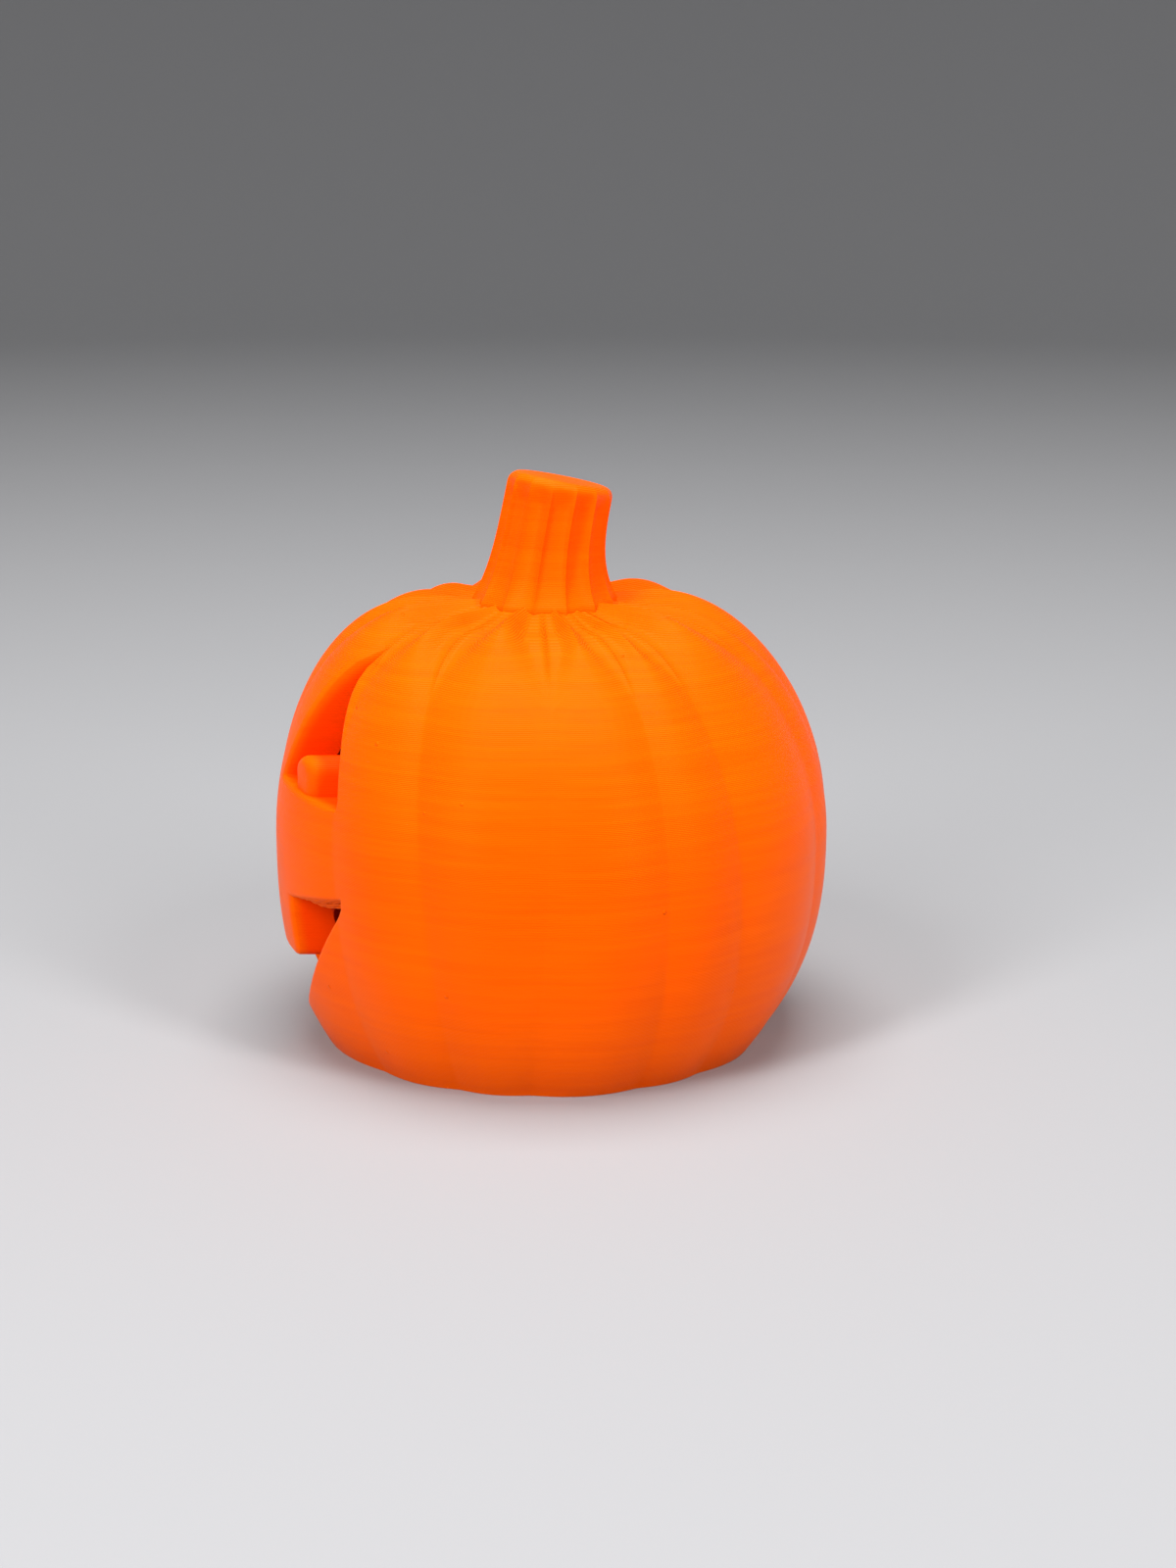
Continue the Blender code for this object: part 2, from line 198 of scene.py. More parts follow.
def loft(name, rings):
    """A closed solid from rings of the same number of points, lowest ring first."""
    bm = bmesh.new()
    loops = [[bm.verts.new(p) for p in ring] for ring in rings]
    count = len(loops[0])
    for low, high in zip(loops, loops[1:]):
        for k in range(count):
            n = (k + 1) % count
            bm.faces.new((low[k], low[n], high[n], high[k]))
    bm.faces.new(list(reversed(loops[0])))
    bm.faces.new(loops[-1])
    bmesh.ops.recalc_face_normals(bm, faces=bm.faces)
    return solid(name, bm)


def solid(name, bm):
    """A mesh object from a bmesh; the bmesh is used up."""
    mesh = bpy.data.meshes.new(name)
    bm.to_mesh(mesh)
    bm.free()
    obj = bpy.data.objects.new(name, mesh)
    bpy.context.scene.collection.objects.link(obj)
    return obj


def skin_rings():
    rings = []
    for (r, z, depth), (nr, nz) in zip(line, outline_normals(line)):
        ring = []
        for angle, share in rib_columns(z, r):
            rr = r - nr * depth * share
            zz = z - nz * depth * share
            ring.append((rr * cos(angle), rr * sin(angle) + belly_offset(z), zz))
        rings.append(ring)
    return rings


lantern = loft("pumpkin_lantern", skin_rings())
skin_tree = BVHTree.FromObject(lantern, bpy.context.evaluated_depsgraph_get())
print("skin:", len(lantern.data.polygons), "faces")

# %% [markdown]
# ## The stem
#
# The stem has fourteen narrow ridges with hollow flutes between them, like a fluted column. It
# flares into the crown, leans back eleven degrees, and ends in a flat top with a softly rounded
# rim, canted four degrees to one side. It is lofted like the skin, on tilted rings, and its root
# ends inside the crown's wall.

# %% Loft the stem
STEM_FOOT_R = 9.0 * MM
STEM_WAIST_R = 6.65 * MM
STEM_TOP_R = 6.55 * MM
STEM_ROOT_Z = 52.6 * MM
STEM_FOOT_Z = 55.2 * MM
STEM_TOP_Z = 69.9 * MM
STEM_TOP_CANT = radians(4)
STEM_LEAN = radians(11)
STEM_FOOT_Y = 0.1 * MM
STEM_RIM = 1.3 * MM
FLUTES = 14
FLUTE_TURN = radians(-8.4)
FLUTE_DEPTH = 0.90 * MM
FLUTE_COLUMNS = 12
STEM_RINGS = 44


def stem_sections():
    """(centre y, centre z, lean, radius, flute depth) from the hidden root to the rim."""
    length = STEM_TOP_Z - STEM_FOOT_Z
    sections = [(STEM_FOOT_Y, STEM_ROOT_Z, 0.0, STEM_FOOT_R, 0.55 * FLUTE_DEPTH)]
    for i in range(STEM_RINGS + 1):
        share = 0.915 * i / STEM_RINGS
        flare = (STEM_FOOT_R - STEM_WAIST_R) * (1 - share) ** 3.6
        radius = mix(STEM_WAIST_R, STEM_TOP_R, share) + flare
        sweep = STEM_LEAN * length * (share - 0.12 * sin(pi * share)) * 0.76
        fade = min(1.0, (1 - share) / 0.2) * (1 - 0.45 * (1 - share) ** 5)
        sections.append((STEM_FOOT_Y + sweep, STEM_FOOT_Z + length * share,
                         STEM_LEAN * min(1.0, 1.4 * share), radius, FLUTE_DEPTH * fade))
    top_y = STEM_FOOT_Y + STEM_LEAN * length * 0.76
    for turn in range(20, 91, 10):
        step_in = STEM_RIM * (1 - cos(radians(turn)))
        drop = STEM_RIM * (1 - sin(radians(turn)))
        fade = 0.3 * FLUTE_DEPTH * (1 - turn / 90)
        sections.append((top_y - drop * sin(STEM_LEAN), STEM_TOP_Z - drop * cos(STEM_LEAN),
                         STEM_LEAN, STEM_TOP_R - step_in, fade))
    return sections


def stem_rings():
    rings = []
    count = FLUTES * FLUTE_COLUMNS
    for cy, cz, lean, radius, depth in stem_sections():
        cant = STEM_TOP_CANT * max(0.0, (cz - STEM_FOOT_Z) / (STEM_TOP_Z - STEM_FOOT_Z))
        tilt = Matrix.Rotation(-lean, 4, "X") @ Matrix.Rotation(-cant, 4, "Y")
        ring = []
        for k in range(count):
            turn = 2 * pi * k / count
            r = radius - depth * abs(sin(0.5 * FLUTES * turn)) ** 0.55
            spot = tilt @ Vector((r * cos(turn + FLUTE_TURN), r * sin(turn + FLUTE_TURN), 0.0))
            ring.append(spot + Vector((0.0, cy, cz)))
        rings.append(ring)
    return rings


stem = loft("stem", stem_rings())
print("stem:", FLUTES, "flutes,", len(stem.data.polygons), "faces")

# %% [markdown]
# ## Drawing the openings
#
# The eyes and the mouth are drawn flat, as seen from the front, and then pushed through the wall.
# An outline is a list of (sideways, height) points. Corners are rounded with short arcs, the eye's
# sides bow a little, and the lips are power curves that rise toward the corners of the mouth.

# %% Outline helpers


def rounded(corner, before, after, radius, steps=6):
    """The points that round one corner of an outline."""
    p = Vector(corner)
    a = (Vector(before) - p).normalized()
    b = (Vector(after) - p).normalized()
    half = 0.5 * a.angle(b)
    middle = p + (a + b).normalized() * (radius / sin(half))
    start = p + a * (radius * cos(half) / sin(half))
    end = p + b * (radius * cos(half) / sin(half))
    t0 = atan2(start.y - middle.y, start.x - middle.x)
    t1 = atan2(end.y - middle.y, end.x - middle.x)
    t1 += 2 * pi * round((t0 - t1) / (2 * pi))
    return [(middle.x + radius * cos(mix(t0, t1, i / steps)),
             middle.y + radius * sin(mix(t0, t1, i / steps))) for i in range(steps + 1)]


def run(start, end, bow=0.0, steps=14):
    """Points between two corners, ends left out, bowed sideways by a small amount."""
    points = []
    for i in range(1, steps):
        u = i / steps
        points.append((mix(start[0], end[0], u) + bow * 4 * u * (1 - u), mix(start[1], end[1], u)))
    return points


def lip_run(lip, start, end, steps):
    """Points along a lip, ends left out."""
    xs = [mix(start, end, i / steps) for i in range(1, steps)]
    return [(x, lip(x)) for x in xs]


# %% Draw an eye and the mouth
EYE_TOP = (12.3 * MM, 52.1 * MM)
EYE_INNER = (9.1 * MM, 34.5 * MM)
EYE_OUTER = (22.3 * MM, 33.4 * MM)
EYE_BOW = (0.6 * MM, 0.9 * MM)
LIP_CORNER = (23.5 * MM, 23.3 * MM)
CORNER_DROP = 1.3 * MM
UPPER_LIP_Z = 18.3 * MM
LOWER_LIP_Z = 3.8 * MM
LOWER_LIP_POWER = 2.6
UPPER_TOOTH = (14.0 * MM, 5.0 * MM)
LOWER_TOOTH = (-15.5 * MM, -7.0 * MM)
UPPER_TOOTH_TIP_Z = 13.25 * MM
LOWER_TOOTH_TIP_Z = 11.8 * MM
TOOTH_ROUND = 0.9 * MM


def upper_lip(x):
    return UPPER_LIP_Z + (LIP_CORNER[1] - UPPER_LIP_Z) * abs(x / LIP_CORNER[0]) ** 1.25


def lower_lip(x):
    high = LIP_CORNER[1] - CORNER_DROP
    return LOWER_LIP_Z + (high - LOWER_LIP_Z) * abs(x / LIP_CORNER[0]) ** LOWER_LIP_POWER


def eye_outline():
    points = rounded(EYE_TOP, EYE_OUTER, EYE_INNER, 0.3 * MM)
    points += run(EYE_TOP, EYE_INNER, EYE_BOW[0])
    points += rounded(EYE_INNER, EYE_TOP, EYE_OUTER, 0.5 * MM)
    points += run(EYE_INNER, EYE_OUTER)
    points += rounded(EYE_OUTER, EYE_INNER, EYE_TOP, 0.6 * MM)
    return points + run(EYE_OUTER, EYE_TOP, EYE_BOW[1])


def tooth(lip, first, last, tip_z):
    a, b, c, d = (first, lip(first)), (first, tip_z), (last, tip_z), (last, lip(last))
    points = [a] + run(a, b, steps=6)[:-1] + rounded(b, a, c, TOOTH_ROUND)
    points += run(b, c, steps=8)[1:-1]
    return points + rounded(c, b, d, TOOTH_ROUND) + run(c, d, steps=6)[1:] + [d]


def mouth_outline():
    side, high = LIP_CORNER
    points = [(side, high)] + lip_run(upper_lip, side, UPPER_TOOTH[0], 16)
    points += tooth(upper_lip, UPPER_TOOTH[0], UPPER_TOOTH[1], UPPER_TOOTH_TIP_Z)
    points += lip_run(upper_lip, UPPER_TOOTH[1], -side, 40)
    points += [(-side, high), (-side, high - CORNER_DROP)]
    points += lip_run(lower_lip, -side, LOWER_TOOTH[0], 16)
    points += tooth(lower_lip, LOWER_TOOTH[0], LOWER_TOOTH[1], LOWER_TOOTH_TIP_Z)
    points += lip_run(lower_lip, LOWER_TOOTH[1], side, 60)
    return points + [(side, high - CORNER_DROP)]


print("eye:", len(eye_outline()), "points; mouth:", len(mouth_outline()), "points")

# %% [markdown]
# ## Cutters with a soft lip
#
# A printed edge is never sharp: the thread of plastic rounds it over by about half a millimetre.
# Rather than bevel the finished mesh, which would trip over its many small faces, the rounding is
# built into the cutter. Its wall runs straight through the wall of the body, and just under the
# skin it flares outward through a quarter circle. The skin's own depth at each point is found by
# shooting a ray at it from the front.

# %% Make a cutter
EDGE_ROUND = 0.55 * MM
EDGE_INSET = 0.25 * MM        # the wall of an opening stands this far inside its drawn line
FRONT_Y = -42.0 * MM          # the cutters start here, before the face
EYE_BACK_Y = -8.0 * MM
MOUTH_BACK_Y = -14.0 * MM


def outward(points):
    """The direction away from the opening at each point of its outline, longer at corners."""
    count = len(points)
    area = sum(points[i][0] * points[(i + 1) % count][1] - points[(i + 1) % count][0] * points[i][1]
               for i in range(count))
    turn = 1 if area > 0 else -1
    sides = []
    for i in range(count):
        x0, z0 = points[i]
        x1, z1 = points[(i + 1) % count]
        length = max(1e-9, hypot(x1 - x0, z1 - z0))
        sides.append(Vector((turn * (z1 - z0) / length, -turn * (x1 - x0) / length)))
    out = []
    for i in range(count):
        both = sides[i - 1] + sides[i]
        out.append(both * min(1.4 / max(1e-9, both.length), 2 / max(1e-9, both.length_squared)))
    return out


def skin_front(x, z):
    """How far forward the ribbed skin is at a sideways place and height."""
    spot, _, _, _ = skin_tree.ray_cast(Vector((x, 2 * FRONT_Y, z)), Vector((0, 1, 0)))
    return spot.y


def lip_cutter(name, points, back_y):
    away = outward(points)
    points = [(x - a.x * EDGE_INSET, z - a.y * EDGE_INSET) for (x, z), a in zip(points, away)]
    rings = [[(x, back_y, z) for x, z in points]]
    for turn in (0, 18, 36, 54, 72, 90):
        step_out = EDGE_ROUND * (1 - cos(radians(turn)))
        depth = EDGE_ROUND * (1 - sin(radians(turn)))
        ring = []
        for (x, z), a in zip(points, away):
            px, pz = x + a.x * step_out, z + a.y * step_out
            ring.append((px, skin_front(px, pz) + depth, pz))
        rings.append(ring)
    step_out = 1.15 * EDGE_ROUND
    clear = [(x + a.x * step_out, z + a.y * step_out) for (x, z), a in zip(points, away)]
    rings.append([(x, skin_front(x, z) - 0.5 * EDGE_ROUND, z) for x, z in clear])
    rings.append([(x, FRONT_Y, z) for x, z in clear])
    return loft(name, rings)


eye = eye_outline()
eye_cutters = [lip_cutter("eye_right", eye, EYE_BACK_Y),
               lip_cutter("eye_left", [(-x, z) for x, z in eye], EYE_BACK_Y)]
mouth_cutter = lip_cutter("mouth", mouth_outline(), MOUTH_BACK_Y)
print("cutters:", [c.name for c in eye_cutters], mouth_cutter.name)

# %% [markdown]
# ## Pupils
#
# In each eye a small round-topped block stands on the eye's floor: the pupil. Its front is upright
# while the body slopes back above it, so its foot sits behind the skin and its head comes flush.
# It is an arch pushed through the wall, with the front loop bevelled into a soft nose.

# %% Model a pupil
PUPIL_X = 14.9 * MM
PUPIL_R = 2.1 * MM
PUPIL_Z = 36.6 * MM
PUPIL_FRONT_Z = 37.2 * MM
PUPIL_NOSE = 1.25 * MM
PUPIL_BACK_Y = -20 * MM       # inside the hollow, which trims it


def arch():
    """A pupil's outline from the front: a half circle on two upright sides, with a buried foot."""
    foot_z = EYE_OUTER[1] - 1.2 * MM
    points = [(PUPIL_R, foot_z)]
    for i in range(25):
        turn = pi * i / 24
        points.append((PUPIL_R * cos(turn), PUPIL_Z + PUPIL_R * sin(turn)))
    return points + [(-PUPIL_R, foot_z)]


def pupil(name, side):
    x0 = side * PUPIL_X
    y0 = skin_front(x0, PUPIL_FRONT_Z)
    reach = hypot(x0, y0)
    bm = bmesh.new()
    front = [bm.verts.new((x0 + x, (reach ** 2 - x0 * (x0 + x)) / y0, z)) for x, z in arch()]
    back = [bm.verts.new((x0 + x, PUPIL_BACK_Y, z)) for x, z in arch()]
    count = len(front)
    nose = bm.faces.new(front)
    bm.faces.new(list(reversed(back)))
    for k in range(count):
        n = (k + 1) % count
        bm.faces.new((front[n], front[k], back[k], back[n]))
    bmesh.ops.recalc_face_normals(bm, faces=bm.faces)
    bmesh.ops.bevel(bm, geom=list(nose.edges), offset=PUPIL_NOSE, segments=6, profile=0.5,
                    affect="EDGES", clamp_overlap=True)
    return solid(name, bm)


pupils = [pupil("pupil_right", 1), pupil("pupil_left", -1)]
print("pupils: front at", round(-skin_front(PUPIL_X, PUPIL_FRONT_Z) / MM, 1), "mm before the axis")

# %% [markdown]
# ## The space inside
#
# The inside follows the outside at a wall's thickness, with a flat roof under the crown, and opens
# through the foot so that a tea light can be put in. Here a Screw modifier does the work: half the
# section, turned once round the standing axis.

# %% Turn the hollow
WALL_FOOT = 4.3 * MM
WALL_CROWN = 5.8 * MM
BASE_HOLE_R = 24.0 * MM


def hollow():
    roof = CROWN_Z - WALL_CROWN
    inner = []
    for (r, z, _), (nr, nz) in list(zip(line, outline_normals(line)))[10:156:4]:
        wall = mix(WALL_FOOT, WALL_CROWN, z / CROWN_Z)
        if z - nz * wall < roof - 0.2 * MM:
            inner.append((r - nr * wall, z - nz * wall))
    half = [(0.0, roof), (CROWN_R - 2 * MM, roof)] + inner[::-1]
    half += [(BASE_HOLE_R, 0.4 * MM), (BASE_HOLE_R, -2 * MM), (0.0, -2 * MM)]
    bm = bmesh.new()
    verts = [bm.verts.new((r, 0.0, z)) for r, z in half]
    for a, b in zip(verts, verts[1:]):
        bm.edges.new((a, b))
    obj = solid("hollow", bm)
    screw = obj.modifiers.new("turn", "SCREW")
    screw.steps = screw.render_steps = 120
    screw.use_merge_vertices = True
    screw.merge_threshold = 0.01 * MM
    obj.location.y = 0.5 * BELLY_LEAN
    return obj


inside = hollow()
print("wall", round(WALL_FOOT / MM, 1), "to", round(WALL_CROWN / MM, 1), "mm, hole in the foot",
      round(2 * BASE_HOLE_R / MM), "mm")

# %% [markdown]
# ## Put it together
#
# The order matters. The stem joins the skin, then the eyes are cut, and only then do the pupils
# join, so that they stand in open eyes. The hollow trims the pupils' backs, and the mouth comes
# last. The result is baked to one mesh, the helpers are removed, and the mesh is slid so that its
# box sits on the measured one.

# %% Join and cut


def bake(obj):
    graph = bpy.context.evaluated_depsgraph_get()
    mesh = bpy.data.meshes.new_from_object(obj.evaluated_get(graph))
    obj.modifiers.clear()
    obj.data = mesh
    mesh.transform(Matrix.Translation(obj.location))
    obj.location = (0, 0, 0)


def face_out(obj):
    bm = bmesh.new()
    bm.from_mesh(obj.data)
    bmesh.ops.remove_doubles(bm, verts=bm.verts, dist=0.001 * MM)
    bmesh.ops.recalc_face_normals(bm, faces=bm.faces)
    bm.to_mesh(obj.data)
    bm.free()


def combine(target, tool, operation):
    mod = target.modifiers.new(tool.name, "BOOLEAN")
    mod.operation = operation
    mod.solver = "MANIFOLD"
    mod.object = tool


bpy.context.view_layer.update()
bake(inside)
face_out(inside)
combine(lantern, stem, "UNION")
for tool in eye_cutters:
    combine(lantern, tool, "DIFFERENCE")
for tool in pupils:
    combine(lantern, tool, "UNION")
combine(lantern, inside, "DIFFERENCE")
combine(lantern, mouth_cutter, "DIFFERENCE")
bpy.context.view_layer.update()
bake(lantern)
for tool in (stem, *eye_cutters, *pupils, inside, mouth_cutter):
    bpy.data.objects.remove(tool, do_unlink=True)
print("joined mesh:", len(lantern.data.polygons), "faces")

# %% Slide onto the measured box


def mesh_box(mesh):
    spots = [v.co for v in mesh.vertices]
    low = Vector([min(s[i] for s in spots) for i in range(3)])
    high = Vector([max(s[i] for s in spots) for i in range(3)])
    return low, high


low, high = mesh_box(lantern.data)
box_low, box_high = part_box("pumpkin")
slide = 0.5 * (box_low + box_high) - 0.5 * (low + high)
slide.z = box_low.z - low.z
lantern.data.transform(Matrix.Translation(slide))
print("slid by", [round(v / MM, 3) for v in slide], "mm; size",
      [round(v / MM, 2) for v in high - low], "mm")

# %% [markdown]
# ## Sagging threads
#
# Where the printer bridges open air, the first threads hang. Over the mouth they run from one
# support to the next, side by side, and droop more the further they lie from the outer edge. They
# are drawn as thin curves with a round section, one for each pass of the nozzle.

# %% Hang the threads
THREAD_R = 0.2 * MM
THREAD_STEP = 0.5 * MM
THREADS = 9                   # in each span
THREAD_FIRST = 0.75 * MM      # how far behind the skin the first one runs


def thread(curve, start, end, depth, sag):
    steps = 22
    spline = curve.splines.new("POLY")
    spline.points.add(steps)
    for i in range(steps + 1):
        u = i / steps
        x = mix(start, end, u)
        z = upper_lip(x)
        y = skin_front(x, z + 0.3 * MM) + depth
        z += 0.12 * MM - sag * (4 * u * (1 - u)) ** 0.6
        z += 0.05 * MM * sin(37 * u + 900 * depth / MM)
        spline.points[i].co = (x + slide.x, y + slide.y, z + slide.z, 1.0)


def threads():
    curve = bpy.data.curves.new("sagging_threads", "CURVE")
    curve.dimensions = "3D"
    curve.bevel_depth = THREAD_R
    curve.bevel_resolution = 2
    curve.use_fill_caps = True
    side = LIP_CORNER[0] + 0.2 * MM
    spans = ((UPPER_TOOTH[0] - 0.3 * MM, side, 1.0), (UPPER_TOOTH[1] + 0.3 * MM, -side, 0.9))
    for start, end, droop in spans:
        for k in range(THREADS):
            depth = THREAD_FIRST + THREAD_STEP * k
            sag = droop * MM * (0.35 + 1.2 * (k / (THREADS - 1)) ** 0.7)
            sag *= 1 + 0.2 * sin(5.1 * k)
            thread(curve, start, end, depth, sag)
    obj = bpy.data.objects.new("sagging_threads", curve)
    bpy.context.scene.collection.objects.link(obj)
    return obj


strands = threads()
print("threads:", len(strands.data.splines))

# %% [markdown]
# ## How deep below the skin
#
# Orange plastic lets a little light through, and light that has bounced between orange walls turns
# red. That glow and shade is painted into the colour here: cut walls and the inside get a deeper red
# than the skin, a painted bounce light. Each point of the mesh stores how far below the skin it
# lies, and the finish reads that number to paint it.

# %% Measure the depth


def store_depth(obj):
    layer = obj.data.attributes.new("below_skin", "FLOAT", "POINT")
    depths = []
    for v in obj.data.vertices:
        spot = v.co - slide
        _, _, _, away = skin_tree.find_nearest(spot)
        outside = spot.z > DIMPLE_Z - 1.4 * MM or away is None
        depths.append(0.0 if outside else away / MM)
    layer.data.foreach_set("value", depths)
    return max(depths)


print("deepest point", round(store_depth(lantern), 1), "mm below the skin")

# %% [markdown]
# ## Sums in place of wires
#
# A finish is a web of shader nodes, and long webs are hard to read. The small class below wraps
# one output socket of a node, so that a sum written in Python, such as `0.4 + 0.1 * bands`, adds
# the Math nodes it needs. Any other node is made by `Finish.node`, which takes the node's type, its
# settings, and what goes into its sockets.

# %% A socket that can be added up


class Value:
    def __init__(self, finish, socket):
        self.finish = finish
        self.socket = socket

    def math(self, operation, *inputs):
        settings = {"operation": operation}
        return self.finish.node("ShaderNodeMath", settings, dict(enumerate(inputs)))

    def __add__(self, other):
        return self.math("ADD", self, other)

    def __rsub__(self, other):
        return self.math("SUBTRACT", other, self)

    def __mul__(self, other):
        return self.math("MULTIPLY", self, other)

    def __pow__(self, other):
        return self.math("POWER", self, other)

    def __abs__(self):
        return self.math("ABSOLUTE", self)

    __radd__ = __add__
    __rmul__ = __mul__

    def sine(self):
        return self.math("SINE", self)

    def between(self, low, high):
        """0 up to low, 1 from high on, and a smooth step between them."""
        settings = {"interpolation_type": "SMOOTHSTEP"}
        sockets = {"Value": self, "From Min": low, "From Max": high}
        return self.finish.node("ShaderNodeMapRange", settings, sockets)


class Finish:
    """One material and the nodes that make it."""

    def __init__(self, name):
        self.material = bpy.data.materials.new(name)
        self.material.use_nodes = True
        self.tree = self.material.node_tree
        self.shader = next(n for n in self.tree.nodes if n.type == "BSDF_PRINCIPLED")

    def node(self, kind, settings=None, sockets=None, output=0):
        made = self.tree.nodes.new(kind)
        for key, value in (settings or {}).items():
            setattr(made, key, value)
        for key, value in (sockets or {}).items():
            self.feed(made.inputs[key], value)
        return Value(self, made.outputs[output])

    def feed(self, socket, value):
        if isinstance(value, Value):
            self.tree.links.new(value.socket, socket)
        else:
            socket.default_value = value

    def shade(self, **sockets):
        for key, value in sockets.items():
            self.feed(self.shader.inputs[key.replace("_", " ")], value)


print("helpers ready")

# %% [markdown]
# ## Printed plastic
#
# The plastic is one clear orange all through, so the finish is mostly relief. The layers are
# beads a fifth of a millimetre high. On upright walls they show as fine level lines, and on the
# nearly flat crown the same layers spread out into contour rings, so the relief grows as the skin
# turns level. Broader bands come from small drifts in the flow of plastic. Here and there the
# nozzle left a tiny blob. The gloss streaks run up and down because every bead is a small
# cylinder lying on its side.

# %% Orange plastic
LAYER = 0.2 * MM


def orange_plastic():
    finish = Finish("orange_plastic")
    place = finish.node("ShaderNodeTexCoord", output="Object")
    split = finish.node("ShaderNodeSeparateXYZ", sockets={0: place}, output="Z")
    facing = finish.node("ShaderNodeTexCoord", output="Normal")
    level = abs(finish.node("ShaderNodeSeparateXYZ", sockets={0: facing}, output="Z"))

    beads = abs((split * (pi / LAYER)).sine())
    flow = stretched_noise(finish, place, (55, 55, 1250), 2.0, 0.55)
    drift = stretched_noise(finish, place, (16, 16, 210), 1.0, 0.5)
    grain = stretched_noise(finish, place, (900, 900, 2600), 1.0, 0.5)
    clouds = stretched_noise(finish, place, (45, 45, 45), 2.0, 0.5)
    blobs = specks(finish, place)

    relief = beads * (0.022 * MM + 0.06 * MM * level ** 3)
    relief = relief + flow * (0.030 * MM) + drift * (0.06 * MM)
    relief = relief + grain * (0.004 * MM) + blobs * (0.12 * MM)
    bump = finish.node("ShaderNodeBump",
                       sockets={"Strength": 1.0, "Distance": 1.0, "Height": relief})

    tone = finish.node("ShaderNodeMix", {"data_type": "RGBA"},
                       {"Factor": (0.5 * clouds + 0.5 * flow).between(0.25, 0.75),
                        6: (0.94, 0.090, 0.0, 1.0), 7: (1.0, 0.116, 0.0, 1.0)}, output=2)
    # Painted bounce light and shade: the further below the skin a point lies, the deeper its red.
    below = finish.node("ShaderNodeAttribute", {"attribute_name": "below_skin"}, output="Fac")
    tone = finish.node("ShaderNodeMix", {"data_type": "RGBA"},
                       {"Factor": 0.8 * below.between(0.15, 1.6), 6: tone,
                        7: (1.0, 0.034, 0.0, 1.0)}, output=2)
    finish.shade(Base_Color=tone, Roughness=0.36 + 0.14 * flow, Normal=bump)
    finish.shade(Anisotropic=0.5, Anisotropic_Rotation=0.25, IOR=1.46, Specular_IOR_Level=0.12)
    finish.shade(Specular_Tint=(1.0, 0.5, 0.03, 1.0))
    return finish.material


def stretched_noise(finish, place, scale, detail, roughness):
    """Noise from 0 to 1 whose grains are long where the scale is small."""
    spread = finish.node("ShaderNodeMapping", sockets={"Vector": place, "Scale": scale})
    return finish.node("ShaderNodeTexNoise", {"noise_dimensions": "3D"},
                       {"Vector": spread, "Scale": 1.0, "Detail": detail, "Roughness": roughness})


def specks(finish, place):
    """1 in the middle of a few small blobs, 0 elsewhere."""
    cells = {"Vector": place, "Scale": 170.0, "Randomness": 1.0}
    near = finish.node("ShaderNodeTexVoronoi", {"feature": "F1"}, cells, output="Distance")
    return 1 - near.between(0.02, 0.055)


plastic = orange_plastic()
for piece in (lantern, strands):
    piece.data.materials.clear()
    piece.data.materials.append(plastic)
print("nodes in the plastic:", len(plastic.node_tree.nodes))

# %% Smooth the shading
SHARP = radians(40)
lantern.data.polygons.foreach_set("use_smooth", [True] * len(lantern.data.polygons))
lantern.data.set_sharp_from_angle(angle=SHARP)
for spline in strands.data.splines:
    spline.use_smooth = True
sharp = sum(1 for e in lantern.data.edges if e.use_edge_sharp)
print("sharp edges:", sharp)

# %% [markdown]
# ## Tie it to the measured model
#
# The lantern has no moving part, so both pieces ride on the one body, "root". The fine mesh takes
# the measured node's place, and the threads belong to the same finish.

# %% Ride and replace
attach(lantern, "root")
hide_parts("pumpkin")
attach(strands, "root")
print("pieces:", lantern.name, strands.name)

# %% [markdown]
# ## Floor, light and camera
#
# The lantern stands on a plain pale floor that curves up into a backdrop, so no horizon line cuts
# behind it. A broad soft box above gives the crown its lighter colour, two upright boxes light the
# shoulders from either side of the camera, and the pale surroundings fill the shadows.

# %% Floor
FLAT_R = 0.9
WALL_R = 1.5


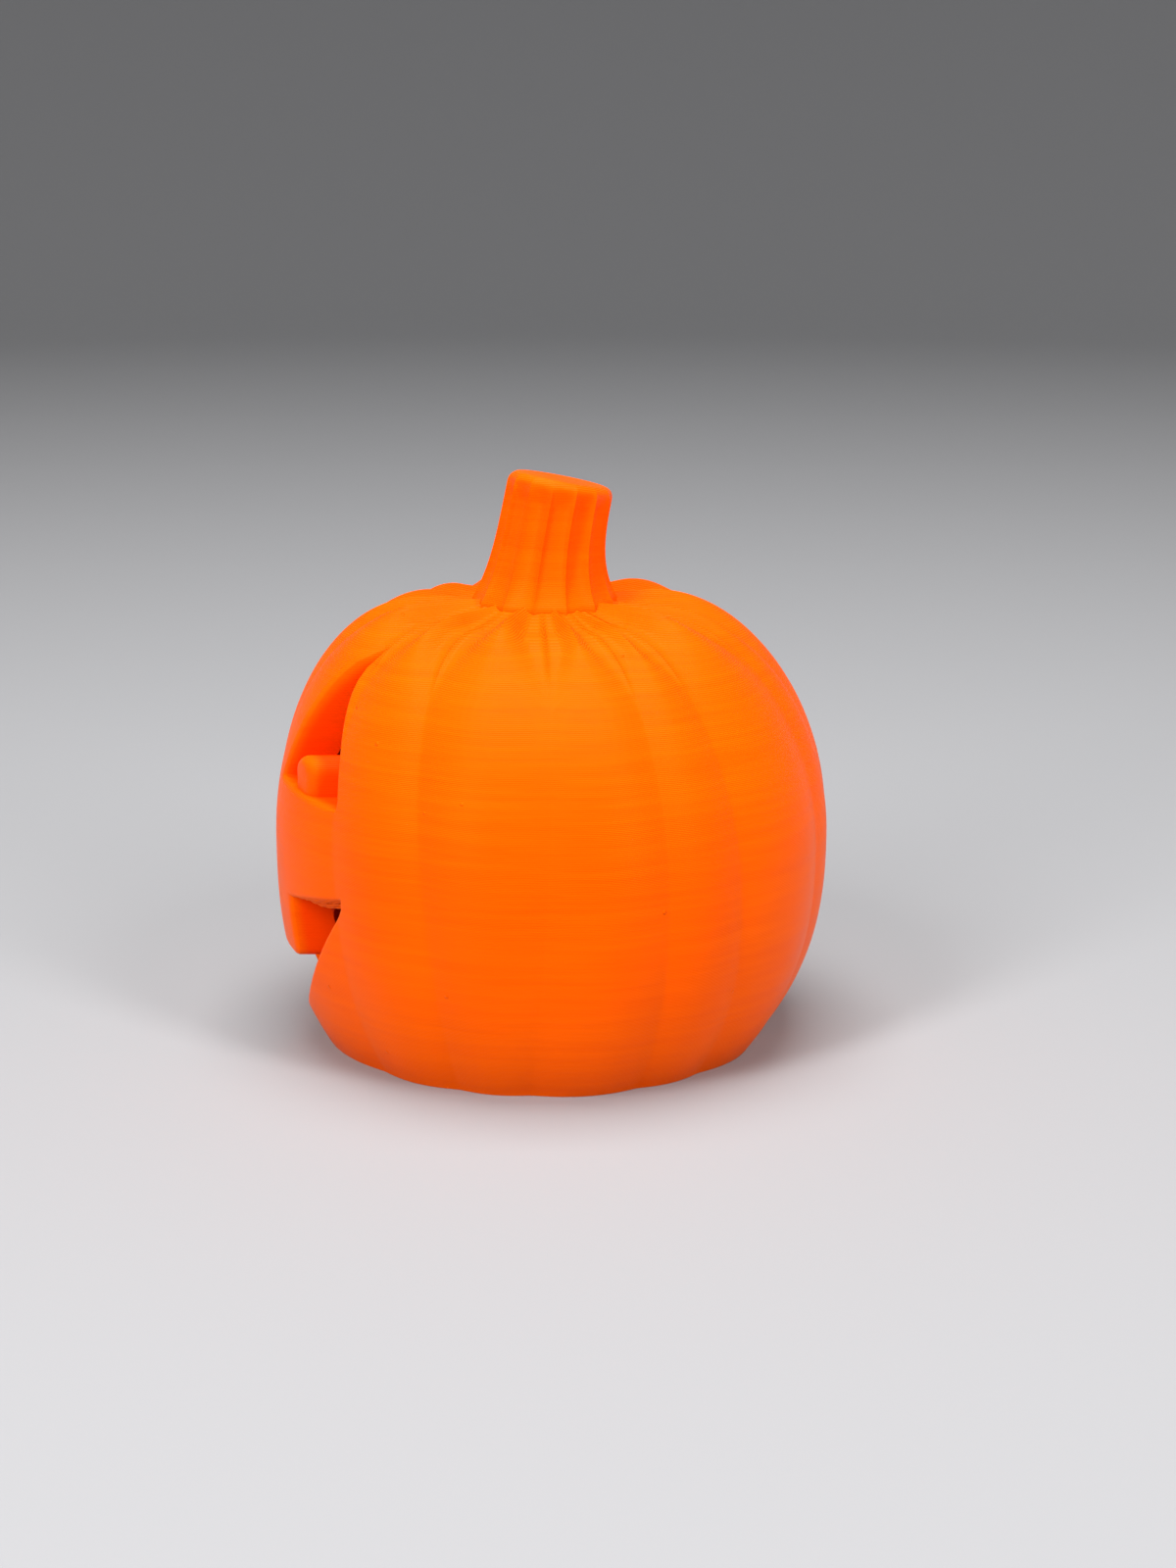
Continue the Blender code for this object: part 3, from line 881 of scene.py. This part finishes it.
def pale_bowl():
    finish = Finish("pale_floor")
    finish.shade(Base_Color=(0.33, 0.33, 0.34, 1.0), Roughness=0.9)
    bend = WALL_R - FLAT_R
    half = [(0.0, 0.0), (0.5 * FLAT_R, 0.0)]
    for i in range(17):
        turn = 0.5 * pi * i / 16
        half.append((FLAT_R + bend * sin(turn), bend * (1 - cos(turn))))
    half.append((WALL_R, 1.3))
    bm = bmesh.new()
    verts = [bm.verts.new((r, 0.0, z + box_low.z)) for r, z in half]
    for a, b in zip(verts, verts[1:]):
        bm.edges.new((a, b))
    obj = solid("pale_bowl", bm)
    screw = obj.modifiers.new("turn", "SCREW")
    screw.steps = screw.render_steps = 96
    screw.use_merge_vertices = True
    screw.use_smooth_shade = True
    obj.data.materials.append(finish.material)


pale_bowl()
print("floor: a bowl", 2 * WALL_R, "m across, flat for", 2 * FLAT_R, "m")

# %% Lights
AIM = Vector((0.0, 0.0, 0.03))


def soft_box(name, place, width, height, power, colour=(1.0, 1.0, 1.0)):
    light = bpy.data.lights.new(name, "AREA")
    light.shape = "RECTANGLE"
    light.size = width
    light.size_y = height
    light.energy = power
    light.color = colour
    lamp = bpy.data.objects.new(name, light)
    lamp.location = place
    lamp.rotation_euler = (AIM - Vector(place)).to_track_quat("-Z", "Y").to_euler()
    bpy.context.scene.collection.objects.link(lamp)


soft_box("overhead", (0.02, 0.0, 0.75), 0.45, 0.45, 6.4)
soft_box("strip_left", (0.40, -0.34, 0.40), 0.12, 0.45, 3.6)
soft_box("strip_right", (0.40, 0.40, 0.40), 0.12, 0.45, 3.0)
world = bpy.data.worlds.new("pale_room")
world.use_nodes = True
world.node_tree.nodes["Background"].inputs["Color"].default_value = (1.0, 1.0, 1.0, 1.0)
world.node_tree.nodes["Background"].inputs["Strength"].default_value = 0.21
bpy.context.scene.world = world
bpy.context.scene.view_settings.view_transform = "Standard"

# %% Camera
CAMERA_DISTANCE = 0.340
CAMERA_RISE = radians(15.36)
LENS = 61.68
target = Vector((0.0, slide.y, 29 * MM))
camera_data = bpy.data.cameras.new("camera")
camera_data.sensor_fit = "VERTICAL"
camera_data.sensor_height = 36.0
camera_data.lens = LENS
camera_data.shift_x = 0.02825
camera_data.shift_y = 0.0104
camera_data.clip_start = 0.01
camera = bpy.data.objects.new("camera", camera_data)
back = Vector((cos(CAMERA_RISE), 0.0, sin(CAMERA_RISE)))
camera.location = target + CAMERA_DISTANCE * back
camera.rotation_euler = back.to_track_quat("Z", "Y").to_euler()
bpy.context.scene.collection.objects.link(camera)
bpy.context.scene.camera = camera
print("camera", round(CAMERA_DISTANCE, 3), "m from the lantern's middle")

# %% Bring the scene up to date
bpy.context.view_layer.update()
